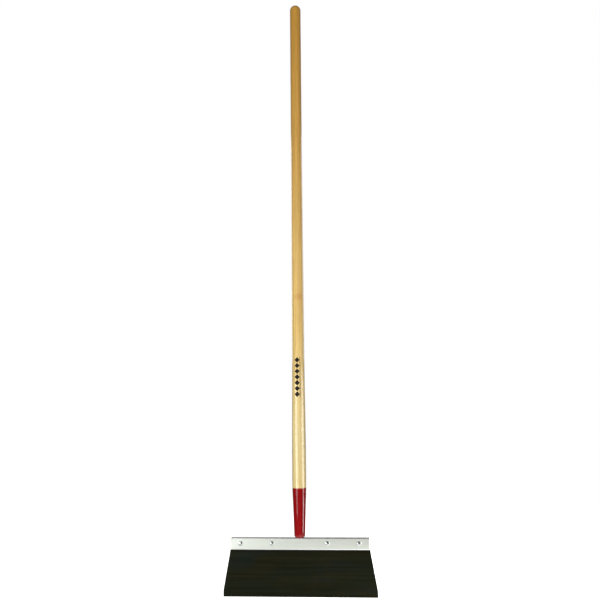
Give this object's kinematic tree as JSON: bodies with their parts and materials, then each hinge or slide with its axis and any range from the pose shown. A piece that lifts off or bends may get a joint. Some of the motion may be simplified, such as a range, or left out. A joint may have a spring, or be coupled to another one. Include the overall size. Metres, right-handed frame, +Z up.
{
  "type": "floor scraper",
  "caption": "Long-handled floor scraper: a wide spring-steel blade riveted in an extruded aluminium back, bolted to a turned wooden handle with a dipped end.",
  "frame": {"origin": "middle of the cutting edge, where it meets the floor", "axes": "+Z up along the handle's axis, +X along the cutting edge, -Y towards the front, where the domed rivet heads are"},
  "size_m": [0.3556, 0.033, 1.5016],
  "materials": {
    "blued_steel": "rolled and blued spring steel, thinly oiled, dark olive black",
    "mill_aluminium": "satin extruded aluminium with fine lines along its length",
    "rivet_aluminium": "bright upset aluminium",
    "varnished_wood": "pale straight-grained hardwood under clear varnish",
    "red_lacquer": "glossy red dipped lacquer",
    "plated_steel": "zinc plated"
  },
  "bodies": {
    "root": {"blade": "blued_steel", "blade_back": "mill_aluminium", "rivet_1": "rivet_aluminium", "rivet_2": "rivet_aluminium", "rivet_3": "rivet_aluminium", "rivet_4": "rivet_aluminium", "handle": "varnished_wood", "handle_dip": "red_lacquer", "hanger_bolt": "plated_steel", "square_nut": "plated_steel"}
  },
  "joints": []
}
